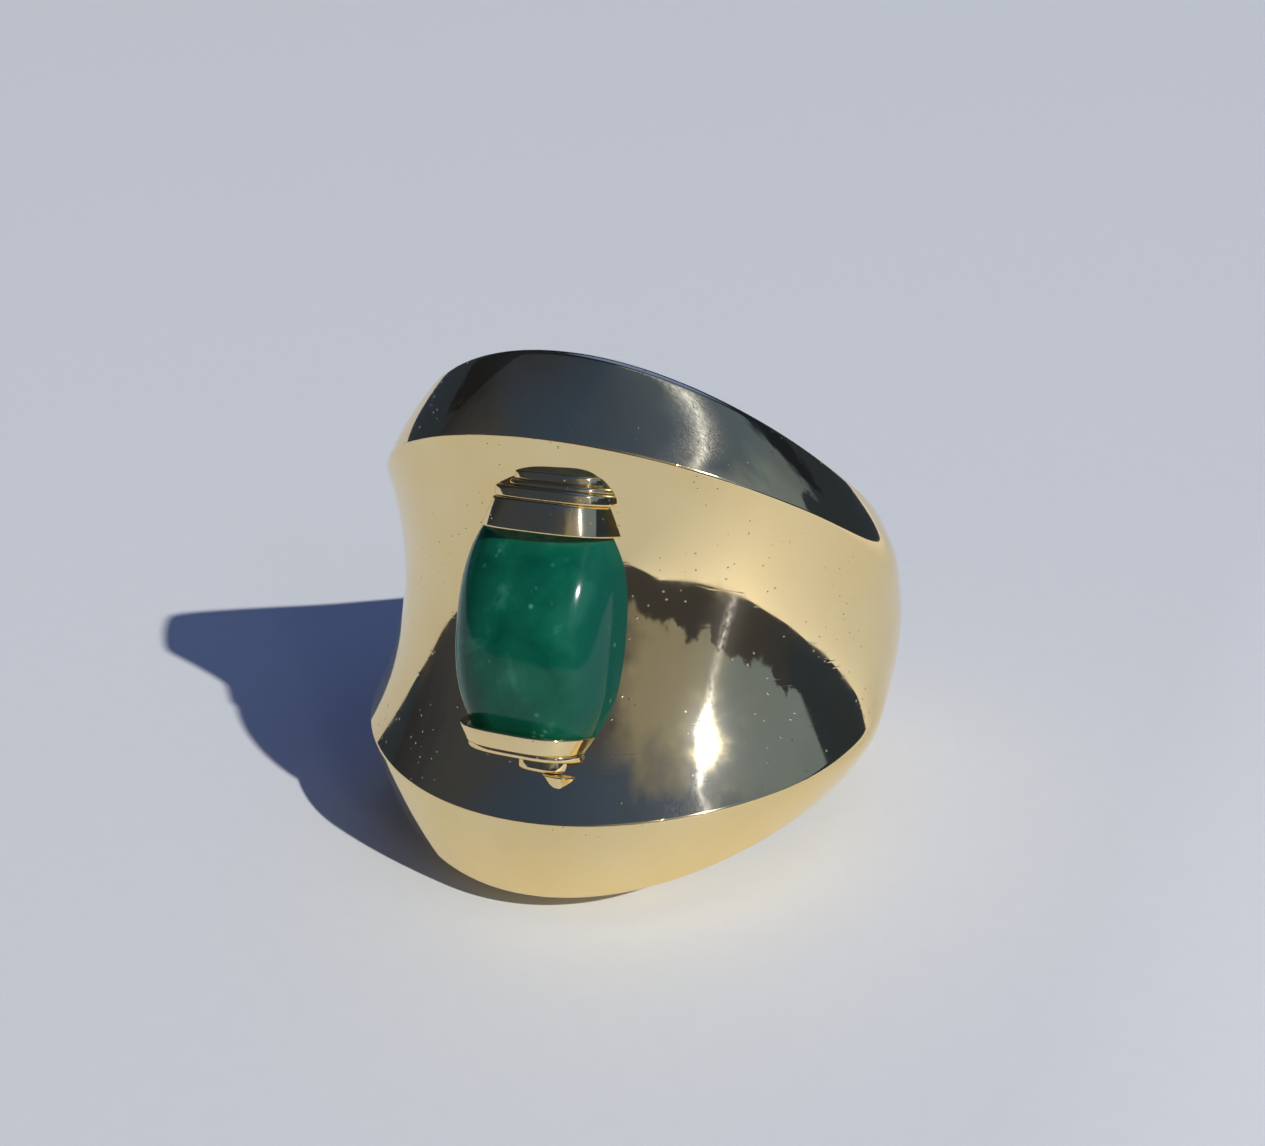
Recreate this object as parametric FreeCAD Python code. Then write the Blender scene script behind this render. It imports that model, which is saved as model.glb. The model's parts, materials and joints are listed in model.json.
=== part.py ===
import FreeCAD, Part
import math
import os

os.makedirs("parts", exist_ok=True)

# Cocktail ring, lying on its side as it naturally rests.  Millimetres and degrees.
# Ring coordinates: f points out through the face, s sideways, a along the finger.
# "turn" is the angle around the finger axis, 0 at the centre of the face.

# ---- finger sleeve -------------------------------------------------------
BORE_RADIUS = 8.65          # finger hole, about US size 7
SLEEVE_WALL = 0.5
SLEEVE_RADIUS = BORE_RADIUS + SLEEVE_WALL

# ---- width of the band, half values measured along the finger -------------
FACE_HALF_WIDTH = 11.26
SHANK_HALF_WIDTH = 4.75
FLANK_HALF_PINCH = 1.56     # how much the flanks draw in between face and shank
WIDTH_FALLOFF = 1.58

# ---- the two crease ridges either side of the channel ---------------------
CREASE_HALF_SPACING = 7.74
CREASE_HALF_SPACING_BACK = 0.85
CREASE_FALLOFF = 1.61
CREASE_RADIUS = 13.24
CREASE_RADIUS_BACK = 11.5
CREASE_RADIUS_FALLOFF = 1.12
BEVEL_DROP = 1.48           # the side bevel falls this far from crease to rim
BEVEL_BULGE = 0.16

# ---- hollow of the channel ------------------------------------------------
CHANNEL_RADIUS = 11.61
CHANNEL_RADIUS_BACK = 11.79
CHANNEL_RADIUS_FALLOFF = 1.15
CHANNEL_SHARPNESS = 1.9

# ---- plain domed shank ----------------------------------------------------
SHANK_RADIUS_FRONT = 12.37   # where the dome would lie if it ran to the face
SHANK_RADIUS_BACK = 11.16
SHANK_CROWN = 1.37
SHANK_CROWN_SHARPNESS = 2.46
BLEND_START = 73.0          # the creases begin to melt into the shank here
BLEND_END = 104.0           # and are gone here, where the shank is soldered on

# ---- sheet construction ---------------------------------------------------
SHEET = 0.8
INNER_RIM_INSET = 0.55      # inside corner of a side panel, below its rim
CORE_OVERLAP = 0.15         # panels are made this much too deep, then bored out

# ---- emerald --------------------------------------------------------------
STONE_BASE = 10.75          # height of the flat back above the finger axis
STONE_SHOULDER = 11.0       # where the upright girdle turns into the dome
STONE_TOP = 14.5
STONE_END_TOP = 13.4
STONE_HALF_WIDTH = 3.5
STONE_END_HALF_WIDTH = 2.9
STONE_HALF_LENGTH = 4.05
STONE_ASIDE = 0.45          # the stone and bars sit this far off the centre line
STONE_OUTLINE_SQUARENESS = 3.5
DOME_SQUARENESS = 2.8       # 2 would be an elliptical dome
DOME_POINTS = 25

# ---- seat below the emerald -----------------------------------------------
SEAT_DEPTH = 0.85
SEAT_LEDGE = 0.8

# ---- stepped bars at both ends of the emerald ------------------------------
# one line for each step, counted outwards from the stone:
# far edge, half width, shift sideways, top radius, fall across the step
UPPER_STEPS = [
    (5.3, 2.95, 0.7, 14.05, 0.30),
    (5.78, 2.75, 0.85, 13.65, 0.0),
    (6.03, 2.4, 1.1, 13.4, 0.0),
    (6.45, 2.2, 1.0, 13.15, 0.0),
]
LOWER_STEPS = [
    (4.85, 2.95, 0.35, 14.05, 0.25),
    (5.17, 2.75, 0.35, 13.4, 0.0),
    (5.72, 1.3, 1.25, 12.78, 0.0),
    (6.35, 0.85, 2.1, 12.85, 0.3),
]
STEP_NEAR_BREAK = 0.08      # narrow bevel along the edge nearest the stone
STEP_FAR_BREAK = 0.16
STEP_SQUARENESS = 3.0
STEP_ROOT = 10.0            # bars are made down to here, then fitted to the floor
STEP_SINK = 0.4             # depth they are let into the channel

# ---- fineness of the free-form surfaces ------------------------------------
TURN_STEP = 4.0
ACROSS_CHANNEL = 14
ACROSS_BEVEL = 5
ACROSS_SHANK = 16
STONE_SECTIONS = 9
BIG = 40.0


def mix(front, back, falloff, turn):
    """Value that runs from front (turn 0) to back (turn 180)."""
    share = ((1.0 + math.cos(math.radians(turn))) / 2.0) ** falloff
    return back + (front - back) * share


def half_width(turn):
    pinch = FLANK_HALF_PINCH * math.sin(math.radians(turn)) ** 2
    return mix(FACE_HALF_WIDTH, SHANK_HALF_WIDTH, WIDTH_FALLOFF, turn) - pinch


def crease_spacing(turn):
    return mix(CREASE_HALF_SPACING, CREASE_HALF_SPACING_BACK, CREASE_FALLOFF, turn)


def sharp_radius(turn, a):
    """Radius of the crease-and-channel section."""
    crease = mix(CREASE_RADIUS, CREASE_RADIUS_BACK, CREASE_RADIUS_FALLOFF, turn)
    floor = mix(CHANNEL_RADIUS, CHANNEL_RADIUS_BACK, CHANNEL_RADIUS_FALLOFF, turn)
    spacing = crease_spacing(turn)
    if abs(a) <= spacing:
        return floor + (crease - floor) * (abs(a) / spacing) ** CHANNEL_SHARPNESS
    down = (abs(a) - spacing) / (half_width(turn) - spacing)
    return crease - BEVEL_DROP * down + 4.0 * BEVEL_BULGE * down * (1.0 - down)


def domed_radius(turn, a):
    """Radius of the plain shank section."""
    crest = mix(SHANK_RADIUS_FRONT, SHANK_RADIUS_BACK, 1.0, turn)
    out = abs(a) / half_width(turn)
    return crest - SHANK_CROWN * out ** SHANK_CROWN_SHARPNESS


def outer_radius(turn, a):
    """Outer surface of the whole band."""
    short_way = min(abs(turn), 360.0 - abs(turn))
    along = (short_way - BLEND_START) / (BLEND_END - BLEND_START)
    along = min(max(along, 0.0), 1.0)
    plain = along * along * (3.0 - 2.0 * along)
    return (1.0 - plain) * sharp_radius(turn, a) + plain * domed_radius(turn, a)


def spread(first, last, count):
    return [first + (last - first) * i / (count - 1) for i in range(count)]


def ring_point(turn, radius, a):
    angle = math.radians(turn)
    return FreeCAD.Vector(radius * math.cos(angle), radius * math.sin(angle), a)


def clamped_knots(count, degree):
    spans = count - degree
    knots = [float(i) for i in range(spans + 1)]
    multiplicities = [degree + 1] + [1] * (spans - 1) + [degree + 1]
    return knots, multiplicities


def swept_side(turns, rows):
    """Face through rows of (radius, a) points, one row for each turn."""
    poles = []
    for turn, row in zip(turns, rows):
        poles.append([ring_point(turn, radius, a) for radius, a in row])
    across = min(3, len(rows[0]) - 1)
    u_knots, u_mults = clamped_knots(len(turns), 3)
    v_knots, v_mults = clamped_knots(len(rows[0]), across)
    surface = Part.BSplineSurface()
    surface.buildFromPolesMultsKnots(
        poles, u_mults, v_mults, u_knots, v_knots, False, False, 3, across)
    return surface.toShape()


def section_edge(turn, row):
    """Edge through one row of (radius, a) points in the radial plane."""
    across = min(3, len(row) - 1)
    knots, mults = clamped_knots(len(row), across)
    curve = Part.BSplineCurve()
    poles = [ring_point(turn, radius, a) for radius, a in row]
    curve.buildFromPolesMultsKnots(poles, mults, knots, False, across)
    return curve.toShape()


def swept_solid(first_turn, last_turn, section):
    """Solid whose section (a closed list of sides) changes with the turn."""
    count = int(round((last_turn - first_turn) / TURN_STEP)) + 1
    turns = spread(first_turn, last_turn, count)
    sections = [section(turn) for turn in turns]
    faces = []
    for side in range(len(sections[0])):
        faces.append(swept_side(turns, [rows[side] for rows in sections]))
    for turn, rows in ((turns[0], sections[0]), (turns[-1], sections[-1])):
        edges = [section_edge(turn, row) for row in rows]
        faces.append(Part.Face(Part.Wire(edges)))
    shell = Part.Compound(faces)
    shell.sewShape()
    solid = Part.makeSolid(shell.Shells[0])
    if solid.Volume < 0.0:
        solid.reverse()
    return solid


def outline(turn, first_a, last_a, count, inward=0.0):
    heights = spread(first_a, last_a, count)
    return [(outer_radius(turn, a) - inward, a) for a in heights]


def channel_section(turn):
    crease = crease_spacing(turn)
    outside = outline(turn, -crease, crease, ACROSS_CHANNEL)
    inside = outline(turn, crease, -crease, ACROSS_CHANNEL, SHEET)
    return [outside, [outside[-1], inside[0]], inside, [inside[-1], outside[0]]]


def side_section(turn):
    crease = crease_spacing(turn)
    rim = half_width(turn)
    core = SLEEVE_RADIUS - CORE_OVERLAP
    bevel = outline(turn, crease, rim, ACROSS_BEVEL)
    inner_crease = (bevel[0][0] - SHEET, crease)
    inner_rim = (bevel[-1][0] - INNER_RIM_INSET, rim - SHEET)
    return [
        bevel,
        [bevel[-1], (core, rim)],
        [(core, rim), (core, rim - SHEET)],
        [(core, rim - SHEET), inner_rim],
        [inner_rim, inner_crease],
        [inner_crease, bevel[0]],
    ]


def shank_section(turn):
    rim = half_width(turn)
    core = SLEEVE_RADIUS - CORE_OVERLAP
    dome = outline(turn, -rim, rim, ACROSS_SHANK)
    return [dome, [dome[-1], (core, rim)], [(core, rim), (core, -rim)], [(core, -rim), dome[0]]]


def beyond_rim_section(turn):
    """Region outside the upper rim, used to trim the sleeve."""
    rim = half_width(turn)
    inside = BORE_RADIUS - 1.0
    outside = SLEEVE_RADIUS + 1.0
    return [
        [(outside, rim), (inside, rim)],
        [(inside, rim), (inside, BIG)],
        [(inside, BIG), (outside, BIG)],
        [(outside, BIG), (outside, rim)],
    ]


def core(radius):
    return Part.makeCylinder(radius, 2.0 * BIG, FreeCAD.Vector(0, 0, -BIG))


def mirrored(shape):
    return shape.mirror(FreeCAD.Vector(0, 0, 0), FreeCAD.Vector(0, 0, 1))


def make_sleeve():
    length = 2.0 * FACE_HALF_WIDTH + 1.0
    start = FreeCAD.Vector(0, 0, -length / 2.0)
    tube = Part.makeCylinder(SLEEVE_RADIUS, length, start)
    tube = tube.cut(core(BORE_RADIUS))
    for first_turn in (-180.0, 0.0):
        beyond = swept_solid(first_turn, first_turn + 180.0, beyond_rim_section)
        tube = tube.cut(beyond).cut(mirrored(beyond))
    return tube


def make_band():
    """Channel, upper side panel, lower side panel and back shank."""
    channel = swept_solid(-BLEND_END, BLEND_END, channel_section)
    hole = core(SLEEVE_RADIUS)
    upper = swept_solid(-BLEND_END, BLEND_END, side_section).cut(hole)
    shank = swept_solid(BLEND_END, 360.0 - BLEND_END, shank_section).cut(hole)
    return channel, upper, mirrored(upper), shank


def dome_wire(a, half, aside, top, base, squareness):
    """Closed end-on outline at height a: flat back, upright sides, domed top."""
    points = []
    for angle in spread(0.0, math.pi, DOME_POINTS):
        across = abs(math.cos(angle)) ** (2.0 / squareness)
        rise = abs(math.sin(angle)) ** (2.0 / squareness)
        if angle > math.pi / 2.0:
            across = -across
        f = STONE_SHOULDER + (top - STONE_SHOULDER) * rise
        points.append(FreeCAD.Vector(f, aside + half * across, a))
    dome = Part.BSplineCurve()
    dome.interpolate(points)
    low_left = FreeCAD.Vector(base, aside - half, a)
    low_right = FreeCAD.Vector(base, aside + half, a)
    corners = [points[-1], low_left, low_right, points[0]]
    sides = [Part.makeLine(start, end) for start, end in zip(corners, corners[1:])]
    return Part.Wire([dome.toShape()] + sides)


def stone_half_width(a):
    out = abs(a / STONE_HALF_LENGTH) ** STONE_OUTLINE_SQUARENESS
    return STONE_HALF_WIDTH + (STONE_END_HALF_WIDTH - STONE_HALF_WIDTH) * out


def make_stone():
    wires = []
    for a in spread(-STONE_HALF_LENGTH, STONE_HALF_LENGTH, STONE_SECTIONS):
        out = (a / STONE_HALF_LENGTH) ** 2
        top = STONE_TOP + (STONE_END_TOP - STONE_TOP) * out
        half = stone_half_width(a)
        wires.append(dome_wire(a, half, STONE_ASIDE, top, STONE_BASE, DOME_SQUARENESS))
    return Part.makeLoft(wires, True, False)


def stone_back(stone):
    """Flat back of the emerald, which also outlines its seat and its opening."""
    return min(stone.Faces, key=lambda face: face.CenterOfMass.x)


def seat_opening():
    """Block through the seat that leaves a ledge under the emerald's edge."""
    long = STONE_HALF_LENGTH - SEAT_LEDGE
    wide = STONE_END_HALF_WIDTH - SEAT_LEDGE
    corner = FreeCAD.Vector(STONE_BASE - 2.0 * SEAT_DEPTH, STONE_ASIDE - wide, -long)
    return Part.makeBox(3.0 * SEAT_DEPTH, 2.0 * wide, 2.0 * long, corner)


def make_step(near, size):
    """One plate of a stepped bar, on the upper side of the stone."""
    far, half, aside, top, fall = size
    wires = []
    places = [
        (near, STEP_NEAR_BREAK),
        (near + STEP_NEAR_BREAK, 0.0),
        (far - STEP_FAR_BREAK, fall),
        (far, fall + STEP_FAR_BREAK),
    ]
    for a, lower in places:
        wires.append(dome_wire(a, half - lower, aside, top - lower, STEP_ROOT, STEP_SQUARENESS))
    plate = Part.makeLoft(wires, True, True)
    floor = outer_radius(0.0, (near + far) / 2.0) - STEP_SINK
    return plate.cut(core(floor))


def make_bar(sizes):
    steps = []
    near = STONE_HALF_LENGTH
    for size in sizes:
        steps.append(make_step(near, size))
        near = size[0]
    return steps


def lowest(tilt, front):
    """Lowest point of the front or back half of the lower rim at this tilt."""
    low = BIG
    for turn in spread(0.0, 180.0, 181):
        rim = half_width(turn)
        for radius in (BORE_RADIUS, outer_radius(turn, rim)):
            f = radius * math.cos(math.radians(turn))
            if (f > 0.0) == front:
                low = min(low, f * math.sin(tilt) - rim * math.cos(tilt))
    return low


def resting_tilt():
    """Tilt at which the wide front and the narrow back touch the table together."""
    small = 0.0
    large = math.pi / 4.0
    for _ in range(50):
        tilt = (small + large) / 2.0
        if lowest(tilt, True) < lowest(tilt, False):
            small = tilt
        else:
            large = tilt
    return (small + large) / 2.0


TILT = resting_tilt()
POSE = FreeCAD.Matrix(
    0.0, 1.0, 0.0, 0.0,
    -math.cos(TILT), 0.0, math.sin(TILT), 0.0,
    math.sin(TILT), 0.0, math.cos(TILT), 0.0,
    0.0, 0.0, 0.0, 1.0)

channel, upper_side, lower_side, shank = make_band()
stone = make_stone()
back = stone_back(stone)
seat = back.extrude(FreeCAD.Vector(-SEAT_DEPTH, 0, 0)).cut(seat_opening())
opening = back.extrude(FreeCAD.Vector(STONE_TOP - STONE_BASE, 0, 0))
channel = channel.cut(opening).cut(seat)

pieces = {
    "finger_sleeve": make_sleeve(),
    "upper_side_panel": upper_side,
    "lower_side_panel": lower_side,
    "back_shank": shank,
    "stone_seat": seat,
    "emerald_cabochon": stone,
}
upper_bar = make_bar(UPPER_STEPS)
lower_bar = [mirrored(step) for step in make_bar(LOWER_STEPS)]
for word, bar in (("upper", upper_bar), ("lower", lower_bar)):
    for number, step in enumerate(bar):
        pieces["%s_bar_step_%d" % (word, number + 1)] = step
        channel = channel.cut(step)
pieces["front_channel"] = channel

for name, shape in pieces.items():
    solid = shape.Solids[0]
    solid.transformShape(POSE)
    solid.exportStep("parts/%s.step" % name)
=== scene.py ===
import json
import math

import bpy
import numpy as np
from mathutils import Matrix, Vector


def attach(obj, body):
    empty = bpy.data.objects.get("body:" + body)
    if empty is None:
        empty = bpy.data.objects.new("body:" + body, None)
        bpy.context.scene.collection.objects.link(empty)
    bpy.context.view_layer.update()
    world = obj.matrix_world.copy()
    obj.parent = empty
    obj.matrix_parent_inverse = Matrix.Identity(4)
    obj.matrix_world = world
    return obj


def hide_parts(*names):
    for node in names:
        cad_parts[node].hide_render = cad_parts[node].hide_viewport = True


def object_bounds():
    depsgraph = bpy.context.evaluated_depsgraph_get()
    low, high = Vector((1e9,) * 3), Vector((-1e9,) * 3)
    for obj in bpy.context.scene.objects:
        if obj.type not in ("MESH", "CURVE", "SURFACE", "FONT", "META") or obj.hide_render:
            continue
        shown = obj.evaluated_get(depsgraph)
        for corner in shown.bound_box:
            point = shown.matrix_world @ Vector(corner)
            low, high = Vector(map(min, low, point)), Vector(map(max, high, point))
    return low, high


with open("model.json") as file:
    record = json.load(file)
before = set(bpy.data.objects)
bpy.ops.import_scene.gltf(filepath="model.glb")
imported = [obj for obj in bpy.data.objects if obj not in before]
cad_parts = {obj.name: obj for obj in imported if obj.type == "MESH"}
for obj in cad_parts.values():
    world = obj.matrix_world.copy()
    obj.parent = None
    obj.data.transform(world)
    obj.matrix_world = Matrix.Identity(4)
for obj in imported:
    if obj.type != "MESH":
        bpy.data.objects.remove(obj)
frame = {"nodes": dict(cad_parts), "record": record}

cad_low, cad_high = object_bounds()
MM = 0.001

# ------------------------------------------------------------------ frame --
bore = [m for m in frame["record"]["mounts"] if m["name"] == "finger_bore"][0]
BORE_RADIUS = bore["dims"]["r_mm"]
FACE_HALF_WIDTH = bore["dims"]["length_mm"] / 2.0
AXIS = Vector(bore["axis"]).normalized()
CENTRE = Vector(bore["pos_m"])
SIDE = Vector((1.0, 0.0, 0.0))
FACE = SIDE.cross(AXIS)

# ------------------------------------------- proportions of the ring, in mm --
SLEEVE_RADIUS = BORE_RADIUS + 0.5
SHANK_HALF_WIDTH = 4.75
FLANK_HALF_PINCH = 1.56
WIDTH_FALLOFF = 1.58
CREASE_HALF_SPACING = 7.74
CREASE_HALF_SPACING_BACK = 0.85
CREASE_FALLOFF = 1.61
CREASE_RADIUS = 13.24
CREASE_RADIUS_BACK = 11.5
CREASE_RADIUS_FALLOFF = 1.12
BEVEL_DROP = 1.48
BEVEL_BULGE = 0.16
CHANNEL_RADIUS = 11.61
CHANNEL_RADIUS_BACK = 11.79
CHANNEL_RADIUS_FALLOFF = 1.15
CHANNEL_SHARPNESS = 1.9
SHANK_RADIUS_FRONT = 12.37
SHANK_RADIUS_BACK = 11.16
SHANK_CROWN = 1.37
SHANK_CROWN_SHARPNESS = 2.46
BLEND_START = 73                       # degrees from the middle of the face
BLEND_END = 104
SHEET = 0.8
INNER_RIM_INSET = 0.55

STONE_BASE = 10.75
STONE_SHOULDER = 11.0
STONE_TOP = 14.5
STONE_END_TOP = 13.4
STONE_HALF_WIDTH = 3.5
STONE_END_HALF_WIDTH = 2.9
STONE_HALF_LENGTH = 4.05
STONE_ASIDE = 0.45
STONE_OUTLINE_SQUARENESS = 3.5
DOME_SQUARENESS = 2.8

# far edge, half width, shift sideways, top radius, fall across the step
UPPER_STEPS = [
    (5.3, 2.95, 0.7, 14.05, 0.30),
    (5.78, 2.75, 0.85, 13.65, 0.0),
    (6.03, 2.4, 1.1, 13.4, 0.0),
    (6.45, 2.2, 1.0, 13.15, 0.0),
]
LOWER_STEPS = [
    (4.85, 2.95, 0.35, 14.05, 0.25),
    (5.17, 2.75, 0.35, 13.4, 0.0),
    (5.72, 1.3, 1.25, 12.78, 0.0),
    (6.35, 0.85, 2.1, 12.85, 0.3),
]
STEP_NEAR_BREAK = 0.08
STEP_FAR_BREAK = 0.16
STEP_SQUARENESS = 3.0
STEP_ROOT_DEPTH = 1.3                  # below the floor of the channel

# the small roundings that only the visual model has
CREASE_ROUND = 0.07
CREASE_ROUND_BACK = 0.6
CREASE_SOFTEN_START = 52.0             # degrees from the middle of the face
CREASE_SOFTEN_END = 84.0
RIM_ROUND = 0.22
BORE_ROUND = 0.22

# ------------------------------------------------------ fineness of meshes --
FULL_TURN = 360                        # one station per degree
N_CHANNEL, N_BEVEL, N_FILLET, N_SIDE, N_BORE = 64, 18, 7, 6, 8
N_LINING = 24
LINING_HEIGHTS = (0.5, 0.0, -0.5)      # parts of the half width
N_STONE_HALF = 30
N_STONE_ARC = 96
N_STEP_ARC = 64
N_STEP_BREAK = 8
STONE_SHARP_DEGREES = 40.0
STEP_SHARP_DEGREES = 45.0
UV_PER_MM = 0.1
UV_BAND_RADIUS = 12.0


def mix(front, back, falloff, turn):
    share = ((1.0 + np.cos(turn)) / 2.0) ** falloff
    return back + (front - back) * share


def ease(turn, start, end):
    """0 up to start and 1 past end, both in degrees from the middle of the face."""
    short_way = np.abs((np.degrees(turn) + 180.0) % 360.0 - 180.0)
    along = np.clip((short_way - start) / (end - start), 0.0, 1.0)
    return along * along * (3.0 - 2.0 * along)


def half_width(turn):
    pinch = FLANK_HALF_PINCH * np.sin(turn) ** 2
    return mix(FACE_HALF_WIDTH, SHANK_HALF_WIDTH, WIDTH_FALLOFF, turn) - pinch


def crease_spacing(turn):
    return mix(CREASE_HALF_SPACING, CREASE_HALF_SPACING_BACK, CREASE_FALLOFF, turn)


def outer_radius(turn, a):
    """Radius of the band's outside at a turn from the face and a height a."""
    crease = mix(CREASE_RADIUS, CREASE_RADIUS_BACK, CREASE_RADIUS_FALLOFF, turn)
    floor = mix(CHANNEL_RADIUS, CHANNEL_RADIUS_BACK, CHANNEL_RADIUS_FALLOFF, turn)
    spacing = crease_spacing(turn)
    rim = half_width(turn)
    size = np.abs(a)
    hollow = floor + (crease - floor) * (size / spacing) ** CHANNEL_SHARPNESS
    down = (size - spacing) / (rim - spacing)
    bevel = crease - BEVEL_DROP * down + 4.0 * BEVEL_BULGE * down * (1.0 - down)
    sharp = np.where(size <= spacing, hollow, bevel)
    crest = mix(SHANK_RADIUS_FRONT, SHANK_RADIUS_BACK, 1.0, turn)
    domed = crest - SHANK_CROWN * (size / rim) ** SHANK_CROWN_SHARPNESS
    plain = ease(turn, BLEND_START, BLEND_END)
    return (1.0 - plain) * sharp + plain * domed


# ------------------------------------------------------------ band surface --
def bend(p, corner, q, count):
    """Quadratic curve p to q rounded towards corner, count points, ends included."""
    out = []
    for i in range(count):
        t = i / (count - 1)
        weights = ((1 - t) ** 2, 2 * t * (1 - t), t * t)
        out.append(tuple(sum(w * point[k] for w, point in zip(weights, (p, corner, q)))
                         for k in range(2)))
    return out


def half_profile(turn):
    """Rows of (radius, a) from the middle of the channel over the upper rim to the
    middle of the bore, and which rows are the crease and the sleeve's edge."""
    crease = crease_spacing(turn)
    rim = half_width(turn)
    soften = ease(turn, CREASE_SOFTEN_START, CREASE_SOFTEN_END)
    round_by = CREASE_ROUND + (CREASE_ROUND_BACK - CREASE_ROUND) * soften
    rows = []
    for i in range(N_CHANNEL // 2 + 1):
        a = (crease - round_by) * math.sin(math.pi / 2 * i / (N_CHANNEL // 2))
        rows.append((outer_radius(turn, a), a))
    corner = (outer_radius(turn, crease), crease)
    after = (outer_radius(turn, crease + round_by), crease + round_by)
    fillet = bend(rows[-1], corner, after, 2 * N_FILLET + 1)
    rows += fillet[1:N_FILLET + 1]
    crease_row = len(rows) - 1
    rows += fillet[N_FILLET + 1:]
    start, end = crease + round_by, rim - RIM_ROUND
    for i in range(1, N_BEVEL + 1):
        a = start + (end - start) * i / N_BEVEL
        rows.append((outer_radius(turn, a), a))
    edge = outer_radius(turn, rim)
    rows += bend(rows[-1], (edge, rim), (edge - RIM_ROUND, rim), N_FILLET + 2)[1:]
    for i in range(1, N_SIDE + 1):
        t = i / N_SIDE
        rows.append(((edge - RIM_ROUND) * (1 - t) + SLEEVE_RADIUS * t, rim))
    sleeve_row = len(rows) - 1
    wall = np.full_like(turn, BORE_RADIUS)
    rows.append((wall + BORE_ROUND, rim))
    rows += bend(rows[-1], (wall, rim), (wall, rim - BORE_ROUND), N_FILLET)[1:]
    for i in range(1, N_BORE + 1):
        rows.append((wall, (rim - BORE_ROUND) * (1 - i / N_BORE)))
    return rows, crease_row, sleeve_row


def to_row(radius, turn, a):
    """Row-frame points in metres from ring coordinates in millimetres."""
    f = radius * np.cos(turn)
    s = radius * np.sin(turn)
    away = (f[..., None] * np.array(FACE) + s[..., None] * np.array(SIDE)
            + a[..., None] * np.array(AXIS))
    return np.array(CENTRE) + MM * away


TURNS = np.radians(np.arange(0, FULL_TURN, 1.0))
half_rows, UP_CREASE, UP_SLEEVE = half_profile(TURNS)
half_radii = np.array([np.broadcast_to(r, TURNS.shape) for r, a in half_rows])
half_heights = np.array([np.broadcast_to(a, TURNS.shape) for r, a in half_rows])
# full loop: upper half, then lower half mirrored back to the start
loop_radii = np.concatenate([half_radii, half_radii[-2:0:-1]])
loop_heights = np.concatenate([half_heights, -half_heights[-2:0:-1]])
LOOP = len(loop_radii)
LOW_CREASE, LOW_SLEEVE = LOOP - UP_CREASE, LOOP - UP_SLEEVE
POINTS = to_row(loop_radii, TURNS[None, :], loop_heights)       # [loop][turn][3]
across = np.roll(POINTS, -1, 0) - np.roll(POINTS, 1, 0)
around = np.roll(POINTS, -1, 1) - np.roll(POINTS, 1, 1)
NORMALS = np.cross(around, across)
NORMALS /= np.linalg.norm(NORMALS, axis=2)[..., None]


def finish_mesh(name, verts, faces, normals, uvs, material, nodes):
    """Smooth mesh object that rides the ring; normals, if given, are per corner."""
    mesh = bpy.data.meshes.new(name)
    mesh.from_pydata([tuple(v) for v in verts], [], faces)
    mesh.polygons.foreach_set("use_smooth", [True] * len(faces))
    layer = mesh.uv_layers.new(name="UVMap")
    flat = np.array([uvs[l.vertex_index] for l in mesh.loops], np.float32).ravel()
    layer.data.foreach_set("uv", flat)
    mesh.materials.append(material)
    mesh.update()
    if normals is not None:
        mesh.normals_split_custom_set(normals)
    obj = bpy.data.objects.new(name, mesh)
    bpy.context.scene.collection.objects.link(obj)
    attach(obj, "root")
    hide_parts(*nodes)
    return obj


def flat_normal(p):
    """Unit normal of the face through the points p."""
    total = np.zeros(3)
    for q in range(len(p)):
        total += np.cross(p[q] - p[0], p[(q + 1) % len(p)] - p[0])
    return total / np.linalg.norm(total)


def swept(name, loop_ids, inner_rows, turn_ids, closed, nodes):
    """Part of the band: rows of the outer surface closed inside by inner_rows.

    inner_rows is a function of the turn array giving a list of (radius, a)."""
    turns = TURNS[turn_ids]
    outer = POINTS[loop_ids][:, turn_ids]
    outer_normals = NORMALS[loop_ids][:, turn_ids]
    inside = [to_row(np.broadcast_to(r, turns.shape), turns,
                     np.broadcast_to(a, turns.shape)) for r, a in inner_rows(turns)]
    grid = np.concatenate([outer, np.array(inside)])
    m, n = grid.shape[:2]
    verts = grid.transpose(1, 0, 2).reshape(-1, 3)
    lengths = np.linalg.norm(np.diff(grid[:, 0], axis=0), axis=1)
    arc = np.cumsum(np.r_[0.0, lengths]) / MM
    turn_mm = np.unwrap(turns) * UV_BAND_RADIUS
    uvs = np.stack([np.repeat(turn_mm, m), np.tile(arc, n)], 1) * UV_PER_MM

    parts = []                         # (corners, normals, is on the outer surface)
    for j in range(n if closed else n - 1):
        k = (j + 1) % n
        for i in range(m):
            h = (i + 1) % m
            quad = [j * m + i, j * m + h, k * m + h, k * m + i]
            on_outside = i < len(loop_ids) - 1
            if on_outside:
                block = [outer_normals[i, j], outer_normals[h, j],
                         outer_normals[h, k], outer_normals[i, k]]
            else:
                block = [flat_normal(verts[quad])] * 4
            parts.append((quad, block, on_outside))
    if not closed:
        for j, order in ((0, -1), (n - 1, 1)):
            cap = [j * m + i for i in range(m)][::order]
            parts.append((cap, [flat_normal(verts[cap])] * m, False))
    # the faces must turn the same way as the outer normals
    if np.dot(flat_normal(verts[parts[0][0]]), outer_normals[0, 0]) < 0:
        parts = [(corners[::-1], [b if on_outside else -b for b in block[::-1]],
                  on_outside) for corners, block, on_outside in parts]
    faces = [corners for corners, block, on_outside in parts]
    normals = [b for corners, block, on_outside in parts for b in block]
    return finish_mesh(name, verts, faces, normals, uvs, GOLD, nodes)


# ------------------------------------------------------------- node helpers --
BLACK = (0.0,) * 3
WHITE = (1.0,) * 3


def new_material(name):
    mat = bpy.data.materials.new(name)
    mat.use_nodes = True
    tree = mat.node_tree
    return mat, tree, tree.nodes["Principled BSDF"]


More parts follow.
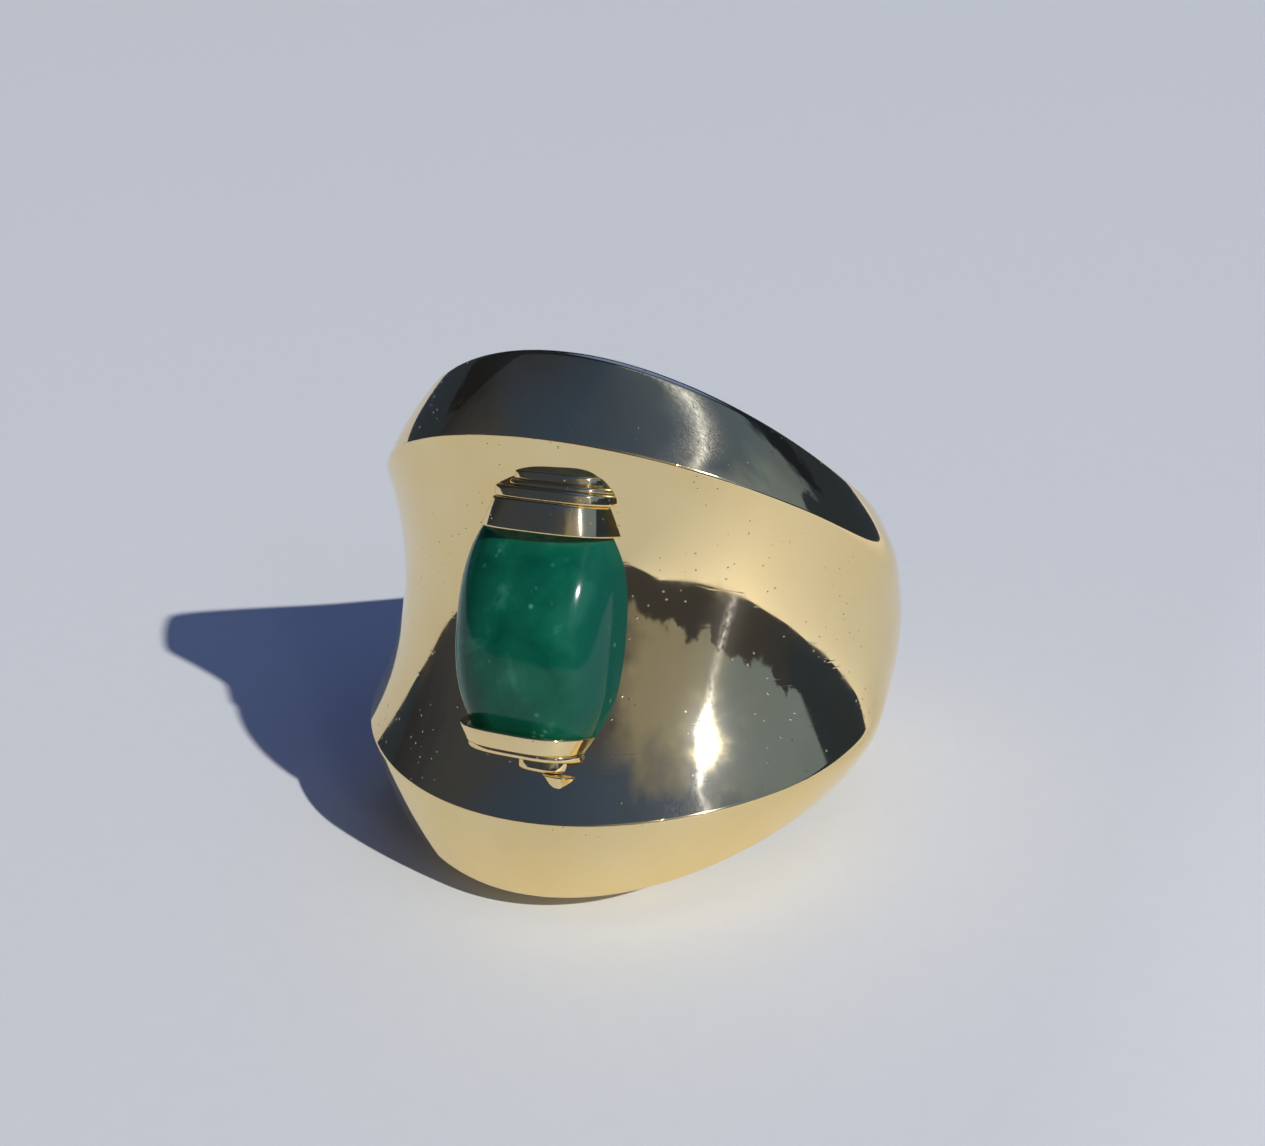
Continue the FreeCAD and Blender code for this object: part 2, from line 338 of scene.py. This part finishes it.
def noise(tree, vector, scale, detail, rough=0.5, distortion=0.0):
    node = tree.nodes.new("ShaderNodeTexNoise")
    node.inputs["Scale"].default_value = scale
    node.inputs["Detail"].default_value = detail
    node.inputs["Roughness"].default_value = rough
    node.inputs["Distortion"].default_value = distortion
    tree.links.new(vector, node.inputs["Vector"])
    return node.outputs["Fac"]


def cell_distance(tree, vector, scale):
    node = tree.nodes.new("ShaderNodeTexVoronoi")
    node.inputs["Scale"].default_value = scale
    tree.links.new(vector, node.inputs["Vector"])
    return node.outputs["Distance"]


def ramp(tree, value, stops):
    node = tree.nodes.new("ShaderNodeValToRGB")
    while len(node.color_ramp.elements) < len(stops):
        node.color_ramp.elements.new(0.5)
    for element, (at, colour) in zip(node.color_ramp.elements, stops):
        element.position = at
        element.color = (*colour, 1.0)
    tree.links.new(value, node.inputs["Fac"])
    return node.outputs["Color"]


def maths(tree, operation, *values):
    node = tree.nodes.new("ShaderNodeMath")
    node.operation = operation
    for socket, value in zip(node.inputs, values):
        if isinstance(value, (int, float)):
            socket.default_value = value
        else:
            tree.links.new(value, socket)
    return node.outputs[0]


def vector_maths(tree, operation, vector, constant):
    node = tree.nodes.new("ShaderNodeVectorMath")
    node.operation = operation
    node.inputs[1].default_value = constant
    tree.links.new(vector, node.inputs[0])
    return node.outputs["Value" if operation == "DOT_PRODUCT" else "Vector"]


def split(tree, vector):
    node = tree.nodes.new("ShaderNodeSeparateXYZ")
    tree.links.new(vector, node.inputs[0])
    return node.outputs


def remap(tree, value, low, high, new_low=0.0, new_high=1.0):
    node = tree.nodes.new("ShaderNodeMapRange")
    node.inputs["From Min"].default_value = low
    node.inputs["From Max"].default_value = high
    node.inputs["To Min"].default_value = new_low
    node.inputs["To Max"].default_value = new_high
    tree.links.new(value, node.inputs["Value"])
    return node.outputs[0]


def blend(tree, share, first, second):
    """First colour turning into the second; each is a tuple or a socket."""
    node = tree.nodes.new("ShaderNodeMix")
    node.data_type = "RGBA"
    tree.links.new(share, node.inputs["Factor"])
    for socket, value in ((node.inputs[6], first), (node.inputs[7], second)):
        if isinstance(value, tuple):
            socket.default_value = (*value, 1.0)
        else:
            tree.links.new(value, socket)
    return node.outputs[2]


def bump(tree, height, distance, below=None):
    node = tree.nodes.new("ShaderNodeBump")
    node.inputs["Strength"].default_value = 1.0
    node.inputs["Distance"].default_value = distance
    tree.links.new(height, node.inputs["Height"])
    if below is not None:
        tree.links.new(below, node.inputs["Normal"])
    return node.outputs[0]


# --------------------------------------------------------------- materials --
WAVE_HEIGHT = 0.012 * MM
SCRATCH_HEIGHT = 0.0005 * MM
PIT_HEIGHT = 0.012 * MM
SCRATCH_STRETCH = (5.0, 150.0, 1.0)    # long round the band, fine across it


def gold_material():
    mat, tree, bsdf = new_material("polished_gold")
    texture = tree.nodes.new("ShaderNodeTexCoord")
    coords = texture.outputs["Object"]
    broad = noise(tree, coords, scale=260.0, detail=2.0)
    colour = ramp(tree, broad, [(0.3, (0.95, 0.725, 0.345)), (0.7, (0.97, 0.775, 0.405))])
    tree.links.new(colour, bsdf.inputs["Base Color"])
    bsdf.inputs["Metallic"].default_value = 1.0
    haze = noise(tree, coords, scale=900.0, detail=4.0)
    rough = ramp(tree, haze, [(0.40, (0.03,) * 3), (0.75, (0.10,) * 3)])
    tree.links.new(rough, bsdf.inputs["Roughness"])
    bsdf.inputs["Coat Weight"].default_value = 0.2
    bsdf.inputs["Coat Roughness"].default_value = 0.28
    # slow waviness of hand polishing
    waves = bump(tree, noise(tree, coords, scale=320.0, detail=1.0), WAVE_HEIGHT)
    # fine scratches round the band
    round_band = vector_maths(tree, "MULTIPLY", texture.outputs["UV"], SCRATCH_STRETCH)
    lines = noise(tree, round_band, scale=1.0, detail=2.0)
    sparse = ramp(tree, lines, [(0.62, BLACK), (0.72, WHITE)])
    scratched = bump(tree, sparse, SCRATCH_HEIGHT, waves)
    # small pits in patches
    pits = ramp(tree, cell_distance(tree, coords, scale=2400.0),
                [(0.05, WHITE), (0.13, BLACK)])
    where = ramp(tree, noise(tree, coords, scale=420.0, detail=2.0),
                 [(0.46, BLACK), (0.56, WHITE)])
    some = maths(tree, "MULTIPLY", pits, where)
    tree.links.new(bump(tree, some, PIT_HEIGHT, scratched), bsdf.inputs["Normal"])
    return mat


def emerald_material():
    mat, tree, bsdf = new_material("cloudy_emerald")
    coords = tree.nodes.new("ShaderNodeTexCoord").outputs["Object"]
    cloud = noise(tree, coords, scale=330.0, detail=5.0, rough=0.6, distortion=0.6)
    colour = ramp(tree, cloud, [(0.30, (0.001, 0.060, 0.034)),
                                (0.55, (0.004, 0.095, 0.055)),
                                (0.75, (0.035, 0.190, 0.125))])
    # one long rim painted lighter, a painted glow that stands in for light shining through the
    # stone on its shaded side; the other darker
    sideways = split(tree, coords)["X"]
    painted_glow_share = remap(tree, sideways, -1.6 * MM, -2.9 * MM)
    colour = blend(tree, painted_glow_share, colour, (0.040, 0.380, 0.240))
    darker = remap(tree, sideways, 2.6 * MM, 3.8 * MM)
    colour = blend(tree, darker, colour, (0.004, 0.055, 0.040))
    # pale specks in patches: partly inclusions, partly painted sparkle highlights
    inclusion_and_sparkle_spots = ramp(tree, cell_distance(tree, coords, scale=1500.0),
                 [(0.05, WHITE), (0.20, BLACK)])
    where = ramp(tree, noise(tree, coords, scale=500.0, detail=2.0),
                 [(0.56, BLACK), (0.70, (0.6,) * 3)])
    share = remap(tree, maths(tree, "MULTIPLY", inclusion_and_sparkle_spots, where), 0.0, 1.0)
    colour = blend(tree, share, colour, (0.16, 0.42, 0.33))
    tree.links.new(colour, bsdf.inputs["Base Color"])
    bsdf.inputs["Roughness"].default_value = 0.11
    bsdf.inputs["IOR"].default_value = 1.58
    bsdf.inputs["Specular IOR Level"].default_value = 0.2
    bsdf.inputs["Subsurface Weight"].default_value = 0.25
    bsdf.inputs["Subsurface Radius"].default_value = (0.2, 1.0, 0.6)
    bsdf.inputs["Subsurface Scale"].default_value = 1.0 * MM
    return mat


def floor_material():
    """Pale board, with a patch painted brighter, painted light, on the side that only
    reflections see.
    """
    mat, tree, bsdf = new_material("pale_floor")
    coords = tree.nodes.new("ShaderNodeTexCoord").outputs["Object"]
    grain = noise(tree, coords, scale=900.0, detail=3.0)
    pale = ramp(tree, grain, [(0.3, (0.622, 0.636, 0.632)), (0.7, (0.632, 0.646, 0.642))])
    # painted light: the board turns brighter from 22 to 60 mm to the side, a painted pool of
    # light for the ring's reflections
    aside = remap(tree, split(tree, coords)["X"], 22.0 * MM, 60.0 * MM)
    colour = blend(tree, aside, pale, (0.95, 0.95, 0.95))
    tree.links.new(colour, bsdf.inputs["Base Color"])
    bsdf.inputs["Roughness"].default_value = 0.7
    bsdf.inputs["Specular IOR Level"].default_value = 0.2
    return mat


GOLD = gold_material()
EMERALD = emerald_material()

# ------------------------------------------------------------- band pieces --
front = [i % FULL_TURN for i in range(-BLEND_END, BLEND_END + 1)]
back = list(range(BLEND_END, FULL_TURN - BLEND_END + 1))
whole = list(range(FULL_TURN))


def channel_inside(turn):
    heights = [crease_spacing(turn) * (1.0 - 2.0 * i / N_LINING) for i in range(N_LINING + 1)]
    return [(outer_radius(turn, a) - SHEET, a) for a in heights]


def side_inside(sign):
    def inner_rows(turn):
        crease = crease_spacing(turn)
        rim = half_width(turn)
        return [(SLEEVE_RADIUS, sign * (rim - SHEET)),
                (outer_radius(turn, rim) - INNER_RIM_INSET, sign * (rim - SHEET)),
                (outer_radius(turn, crease) - SHEET, sign * crease)]
    return inner_rows


def sleeve_face(sign):
    def inner_rows(turn):
        return [(SLEEVE_RADIUS, sign * half_width(turn) * k) for k in LINING_HEIGHTS]
    return inner_rows


channel_ids = list(range(LOW_CREASE, LOOP)) + list(range(0, UP_CREASE + 1))
upper_ids = list(range(UP_CREASE, UP_SLEEVE + 1))
lower_ids = list(range(LOW_CREASE, LOW_SLEEVE - 1, -1))
shank_ids = list(range(LOW_SLEEVE, LOOP)) + list(range(0, UP_SLEEVE + 1))
sleeve_ids = list(range(UP_SLEEVE, LOW_SLEEVE + 1))

swept("front_channel_polished", channel_ids, channel_inside, front, False,
      ["front_channel"])
swept("upper_side_panel_polished", upper_ids, side_inside(1.0), front, False,
      ["upper_side_panel"])
swept("lower_side_panel_polished", lower_ids, side_inside(-1.0), front, False,
      ["lower_side_panel"])
swept("back_shank_polished", shank_ids, sleeve_face(1.0), back, False, ["back_shank"])
swept("finger_sleeve_polished", sleeve_ids, sleeve_face(-1.0), whole, True,
      ["finger_sleeve"])


# ------------------------------------------------------ stone and its bars --
def lofted(name, stations, material, nodes, sharp_degrees):
    """Closed mesh through equal loops of (f, s, a) points, with capped ends.

    Edges sharper than the angle stay crisp; the rest shade smoothly."""
    loops = np.array(stations)                        # [station][point][3]
    n, m = loops.shape[:2]
    basis = np.array([FACE, SIDE, AXIS])
    verts = (loops.reshape(-1, 3) @ basis) * MM + np.array(CENTRE)
    faces = []
    for j in range(n - 1):
        for i in range(m):
            h = (i + 1) % m
            faces.append((j * m + i, (j + 1) * m + i, (j + 1) * m + h, j * m + h))
    faces.append(tuple(range(m)))
    faces.append(tuple(reversed(range((n - 1) * m, n * m))))
    uvs = np.stack([verts[:, 0], verts[:, 2]], 1) / MM * UV_PER_MM
    obj = finish_mesh(name, verts, faces, None, uvs, material, nodes)
    obj.data.set_sharp_from_angle(angle=math.radians(sharp_degrees))


def dome_loop(a, half, aside, top, base, squareness, count):
    """Closed end-on loop at height a: domed top on upright sides."""
    points = []
    for i in range(count + 1):
        angle = math.pi * i / count
        across = abs(math.cos(angle)) ** (2.0 / squareness)
        if i > count // 2:
            across = -across
        rise = abs(math.sin(angle)) ** (2.0 / squareness)
        f = STONE_SHOULDER + (top - STONE_SHOULDER) * rise
        points.append((f, aside + half * across, a))
    points.append((base, aside - half, a))
    points.append((base, aside + half, a))
    return points


def stone_stations():
    stations = []
    for i in range(2 * N_STONE_HALF + 1):
        a = STONE_HALF_LENGTH * math.sin(math.pi / 2 * (i / N_STONE_HALF - 1.0))
        out = abs(a) / STONE_HALF_LENGTH
        narrowing = (STONE_END_HALF_WIDTH - STONE_HALF_WIDTH) * out ** STONE_OUTLINE_SQUARENESS
        top = STONE_TOP + (STONE_END_TOP - STONE_TOP) * out ** 2
        stations.append(dome_loop(a, STONE_HALF_WIDTH + narrowing, STONE_ASIDE, top,
                                  STONE_BASE, DOME_SQUARENESS, N_STONE_ARC))
    return stations


def step_stations(sign, near, far, half, aside, top, fall):
    """Loops along one plate of a bar, with both its long edges rounded."""
    middle = np.array((near + far) / 2)
    base = float(outer_radius(np.array(0.0), middle)) - STEP_ROOT_DEPTH
    angles = [math.pi / 2 * i / N_STEP_BREAK for i in range(N_STEP_BREAK + 1)]
    places = [(near + STEP_NEAR_BREAK * (1 - math.cos(t)),
               STEP_NEAR_BREAK * (1 - math.sin(t))) for t in angles]
    places += [(far - STEP_FAR_BREAK * (1 - math.sin(t)),
                fall + STEP_FAR_BREAK * (1 - math.cos(t))) for t in angles]
    stations = [dome_loop(sign * a, half - lower, aside, top - lower, base,
                          STEP_SQUARENESS, N_STEP_ARC) for a, lower in places]
    return stations if sign > 0 else stations[::-1]


lofted("emerald_domed", stone_stations(), EMERALD, ["emerald_cabochon"],
       STONE_SHARP_DEGREES)
for word, sign, sizes in (("upper", 1.0, UPPER_STEPS), ("lower", -1.0, LOWER_STEPS)):
    near = STONE_HALF_LENGTH
    for number, (far, half, aside, top, fall) in enumerate(sizes):
        node = "%s_bar_step_%d" % (word, number + 1)
        lofted(node + "_polished", step_stations(sign, near, far, half, aside, top, fall),
               GOLD, [node], STEP_SHARP_DEGREES)
        near = far

seat = frame["nodes"]["stone_seat"]
seat.data.materials.clear()
seat.data.materials.append(GOLD)

# ------------------------------------------------------------------- stage --
# the board ends on the right, so that the ring also reflects what lies past it
BOARD_LEFT, BOARD_RIGHT, BOARD_FRONT, BOARD_BACK = -1.5, 0.057, -0.13, 1.5

floor_mesh = bpy.data.meshes.new("floor")
floor_mesh.from_pydata([(BOARD_LEFT, BOARD_FRONT, 0), (BOARD_RIGHT, BOARD_FRONT, 0),
                        (BOARD_RIGHT, BOARD_BACK, 0), (BOARD_LEFT, BOARD_BACK, 0)],
                       [], [(0, 1, 2, 3)])
floor_mesh.materials.append(floor_material())
floor = bpy.data.objects.new("floor", floor_mesh)
floor.location = (0, 0, cad_low.z)
bpy.context.scene.collection.objects.link(floor)

# ------------------------------------------------------------------ camera --
CAMERA_TURN = math.radians(27.2)
CAMERA_RISE = math.radians(24.49)
CAMERA_ROLL = math.radians(-3.84)
CAMERA_AWAY = 80.0 * MM
IMAGE_WIDTH = 1265.0
FOCAL_LENGTH = 21.165 * 80.0 / IMAGE_WIDTH            # in widths of the image
SHIFT_ACROSS = -20.9 / IMAGE_WIDTH
SHIFT_UP = 32.7 / IMAGE_WIDTH
SENSOR_WIDTH = 36.0
CLIP_NEAR, CLIP_FAR = 0.002, 20.0

back_dir = Vector((math.sin(CAMERA_TURN) * math.cos(CAMERA_RISE),
                   -math.cos(CAMERA_TURN) * math.cos(CAMERA_RISE), math.sin(CAMERA_RISE)))
level = Vector((math.cos(CAMERA_TURN), math.sin(CAMERA_TURN), 0.0))
upright = back_dir.cross(level)
c, s = math.cos(CAMERA_ROLL), math.sin(CAMERA_ROLL)
right = c * level + s * upright
up = -s * level + c * upright
camera_data = bpy.data.cameras.new("camera")
camera_data.sensor_width = SENSOR_WIDTH
camera_data.lens = SENSOR_WIDTH * FOCAL_LENGTH
camera_data.shift_x = SHIFT_ACROSS
camera_data.shift_y = SHIFT_UP
camera_data.clip_start = CLIP_NEAR
camera_data.clip_end = CLIP_FAR
camera = bpy.data.objects.new("camera", camera_data)
rotation = Matrix((right, up, back_dir)).transposed().to_4x4()
camera.matrix_world = Matrix.Translation(CENTRE + back_dir * CAMERA_AWAY) @ rotation
bpy.context.scene.collection.objects.link(camera)
bpy.context.scene.camera = camera

# ------------------------------------------------------------------ lights --
SUN_COLOUR = (1.0, 0.98, 0.94)
SUN_WIDTH = math.radians(1.0)


def add_sun(name, rise, turn, energy):
    rise, turn = math.radians(rise), math.radians(turn)
    towards = Vector((math.cos(rise) * math.cos(turn), math.cos(rise) * math.sin(turn),
                      math.sin(rise)))
    data = bpy.data.lights.new(name, "SUN")
    data.energy = energy
    data.angle = SUN_WIDTH
    data.color = SUN_COLOUR
    sun = bpy.data.objects.new(name, data)
    sun.rotation_mode = "QUATERNION"
    sun.rotation_quaternion = towards.to_track_quat("Z", "Y")
    bpy.context.scene.collection.objects.link(sun)
    return sun


# the key lights and casts shadows; the sparkle only shows in reflections
key = add_sun("key", rise=33.7, turn=-20.0, energy=4.4)
key.visible_glossy = False
sparkle = add_sun("sparkle", rise=28.0, turn=-34.0, energy=3.0)
sparkle.visible_diffuse = False
sparkle.visible_transmission = False

# ------------------------------------------------------------ surroundings --
# colours by compass turn, as (share of the way from -180 to 180 degrees, colour)
LOW_SKY = [
    (0.00, (0.022, 0.026, 0.045)), (0.08, (0.042, 0.052, 0.090)),
    (0.20, (0.040, 0.055, 0.115)), (0.27, (0.070, 0.078, 0.120)),
    (0.31, (0.230, 0.240, 0.260)), (0.38, (0.240, 0.260, 0.310)),
    (0.42, (0.150, 0.205, 0.330)), (0.52, (0.150, 0.220, 0.370)),
    (0.612, (0.100, 0.150, 0.270)), (0.625, (0.011, 0.016, 0.036)),
    (1.00, (0.012, 0.014, 0.022)),
]
HIGH_SKY = [
    (0.00, (0.030, 0.040, 0.080)), (0.20, (0.034, 0.062, 0.165)),
    (0.40, (0.062, 0.096, 0.220)), (0.55, (0.080, 0.125, 0.260)),
    (0.615, (0.080, 0.130, 0.270)), (0.63, (0.014, 0.020, 0.045)),
    (1.00, (0.012, 0.020, 0.040)),
]
BUSHES_LEFT = (0.040, 0.044, 0.064)
BUSHES_RIGHT = (0.022, 0.034, 0.066)
CLEAR_SKY = (0.15, 0.26, 0.80)
CLEAR_SKY_TOWARDS = (0.0, 0.6, 0.8)
GLARE_COLOUR = (0.85, 1.0, 1.6)
BACKDROP = (0.515, 0.534, 0.567)
RAGGED_TURN, RAGGED_RISE = 34.0, 26.0                 # degrees
GLARE_TURN = 35.5                                     # degrees to the left of +X
HOT_RISE, GLARE_RISE, HAZE_RISE = 27.0, 43.0, 54.0    # degrees

world = bpy.data.worlds.new("studio")
bpy.context.scene.world = world
world.use_nodes = True
sky_tree = world.node_tree
sky_tree.nodes.clear()


def calc(operation, *values):
    return maths(sky_tree, operation, *values)


def share_of(value, low, high, new_low=0.0, new_high=1.0):
    return remap(sky_tree, value, low, high, new_low, new_high)


def away_from(value, centre):
    return calc("ABSOLUTE", calc("SUBTRACT", value, centre))


# surroundings by compass turn and by rise, both with ragged edges
direction = sky_tree.nodes.new("ShaderNodeTexCoord").outputs["Generated"]
parts = split(sky_tree, direction)
ragged = calc("SUBTRACT", noise(sky_tree, direction, scale=5.0, detail=5.0, rough=0.6), 0.5)
true_turn = calc("DEGREES", calc("ARCTAN2", parts["Y"], parts["X"]))
true_rise = calc("DEGREES", calc("ARCSINE", parts["Z"]))
turn = calc("ADD", true_turn, calc("MULTIPLY", ragged, RAGGED_TURN))
rise = calc("ADD", true_rise, calc("MULTIPLY", ragged, RAGGED_RISE))
compass = share_of(turn, -180.0, 180.0)
skies = blend(sky_tree, share_of(rise, 30.0, 42.0), ramp(sky_tree, compass, LOW_SKY),
              ramp(sky_tree, compass, HIGH_SKY))
bushes = blend(sky_tree, share_of(turn, -18.0, 4.0), BUSHES_LEFT, BUSHES_RIGHT)
bushes_top = share_of(turn, 4.0, 26.0, 3.0, 20.0)
above = share_of(calc("SUBTRACT", rise, bushes_top), -0.6, 0.6)
surroundings = blend(sky_tree, above, bushes, skies)

# upright glare, hottest beside the sparkle and leaning over higher up
hot = calc("POWER", share_of(away_from(true_rise, HOT_RISE), 14.0, 0.0), 2.0)
lean = calc("MULTIPLY", share_of(true_rise, 38.0, 57.0), 46.0)
offset = calc("ABSOLUTE", calc("SUBTRACT", calc("ADD", true_turn, GLARE_TURN), lean))
core_reach = calc("MULTIPLY_ADD", hot, 3.5, share_of(true_rise, 38.0, 50.0, 3.2, 22.0))
core = calc("POWER", share_of(calc("DIVIDE", offset, core_reach), 1.0, 0.0), 2.0)
core_power = calc("MULTIPLY_ADD", hot, 9.0, 0.75)
grain = share_of(noise(sky_tree, direction, scale=40.0, detail=4.0), 0.35, 0.65)
core_glare = calc("MULTIPLY", calc("MULTIPLY", core, core_power), grain)

# speckled glow round it, and a wide haze above it
speckle = share_of(noise(sky_tree, direction, scale=110.0, detail=3.0), 0.50, 0.62)
high_hot = calc("MULTIPLY", share_of(away_from(true_rise, GLARE_RISE), 9.0, 0.0), 0.9)
high_hot = calc("MULTIPLY", high_hot, speckle)
halo = calc("POWER", share_of(offset, 17.0, 0.0), 3.0)
halo_power = calc("ADD", calc("MULTIPLY_ADD", hot, 0.45, 0.10), high_hot)
haze = calc("POWER", share_of(offset, 44.0, 0.0), 2.0)
haze = calc("MULTIPLY", haze, share_of(away_from(true_rise, HAZE_RISE), 14.0, 4.0))
haze = calc("MULTIPLY", haze, calc("MULTIPLY_ADD", speckle, 0.9, 0.10))
glare = calc("ADD", calc("MULTIPLY_ADD", halo, halo_power, core_glare), haze)

bright = sky_tree.nodes.new("ShaderNodeVectorMath")
bright.operation = "SCALE"
bright.inputs[0].default_value = GLARE_COLOUR
sky_tree.links.new(glare, bright.inputs["Scale"])
lit = sky_tree.nodes.new("ShaderNodeVectorMath")
lit.operation = "ADD"
sky_tree.links.new(surroundings, lit.inputs[0])
sky_tree.links.new(bright.outputs[0], lit.inputs[1])

# clear sky, high up behind the ring
facing = vector_maths(sky_tree, "DOT_PRODUCT", direction, CLEAR_SKY_TOWARDS)
sky = blend(sky_tree, share_of(facing, 0.90, 0.96), lit.outputs[0], CLEAR_SKY)

# seen directly, the surroundings are a plain backdrop that carries on the floor
seen = sky_tree.nodes.new("ShaderNodeLightPath").outputs["Is Camera Ray"]
sky = blend(sky_tree, seen, sky, BACKDROP)
background = sky_tree.nodes.new("ShaderNodeBackground")
background.inputs["Strength"].default_value = 1.0
sky_tree.links.new(sky, background.inputs["Color"])
world_output = sky_tree.nodes.new("ShaderNodeOutputWorld")
sky_tree.links.new(background.outputs[0], world_output.inputs["Surface"])

bpy.context.scene.view_settings.view_transform = "Standard"
